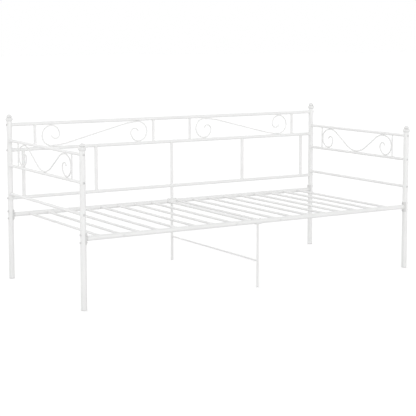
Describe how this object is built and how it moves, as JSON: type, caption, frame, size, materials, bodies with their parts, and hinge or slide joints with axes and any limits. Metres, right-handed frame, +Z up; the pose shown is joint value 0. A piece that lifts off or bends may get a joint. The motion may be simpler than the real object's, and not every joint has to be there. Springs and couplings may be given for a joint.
{
  "type": "daybed",
  "caption": "Single metal daybed: tube posts with turned finials, back and end panels with bent-rod scrolls, and a slatted deck on side rails with a centre support.",
  "frame": {"origin": "on the floor at the middle of the bed, below the middle of the rectangle of the four posts", "axes": "+X along the bed to the right seen from the front, +Y to the back panel, +Z up"},
  "size_m": [2.0896, 0.9496, 0.909],
  "materials": {
    "powder_coat": "satin white powder coat on steel tube and rod",
    "finial_gloss": "white moulded finials, a little glossier than the tubes",
    "bolt_finish": "light grey lacquered bolt heads and saddle plates",
    "foot_plastic": "light grey moulded foot caps",
    "plain_steel": "plain steel inside the tubes, not seen"
  },
  "bodies": {
    "root": {"back_centre_bars": "powder_coat", "back_lower_bars": "powder_coat", "back_rail_bottom": "powder_coat", "back_rail_middle": "powder_coat", "back_rail_top": "powder_coat", "back_scroll_left": "powder_coat", "back_scroll_right": "powder_coat", "back_upper_bars": "powder_coat", "centre_leg_front": "powder_coat", "centre_leg_rear": "powder_coat", "centre_link_bar": "powder_coat", "centre_strut": "powder_coat", "end_bars_left": "powder_coat", "end_bars_right": "powder_coat", "end_rail_left_bottom": "powder_coat", "end_rail_left_middle": "powder_coat", "end_rail_left_top": "powder_coat", "end_rail_right_bottom": "powder_coat", "end_rail_right_middle": "powder_coat", "end_rail_right_top": "powder_coat", "end_scroll_left": "powder_coat", "end_scroll_right": "powder_coat", "finial_front_left": "finial_gloss", "finial_front_right": "finial_gloss", "finial_rear_left": "finial_gloss", "finial_rear_right": "finial_gloss", "leg_foot_caps": "foot_plastic", "panel_bolts": "bolt_finish", "post_foot_caps": "foot_plastic", "post_front_left": "powder_coat", "post_front_right": "powder_coat", "post_rear_left": "powder_coat", "post_rear_right": "powder_coat", "rail_bolts": "powder_coat", "saddle_bolts": "bolt_finish", "saddle_brackets": "bolt_finish", "side_rail_front_left": "powder_coat", "side_rail_front_right": "powder_coat", "side_rail_rear_left": "powder_coat", "side_rail_rear_right": "powder_coat", "slat_left_1": "powder_coat", "slat_left_2": "powder_coat", "slat_left_3": "powder_coat", "slat_left_4": "powder_coat", "slat_left_5": "powder_coat", "slat_left_6": "powder_coat", "slat_left_7": "powder_coat", "slat_left_8": "powder_coat", "slat_left_9": "powder_coat", "slat_right_1": "powder_coat", "slat_right_2": "powder_coat", "slat_right_3": "powder_coat", "slat_right_4": "powder_coat", "slat_right_5": "powder_coat", "slat_right_6": "powder_coat", "slat_right_7": "powder_coat", "slat_right_8": "powder_coat", "slat_right_9": "powder_coat", "splice_tubes": "plain_steel", "threaded_inserts": "plain_steel"}
  },
  "joints": []
}
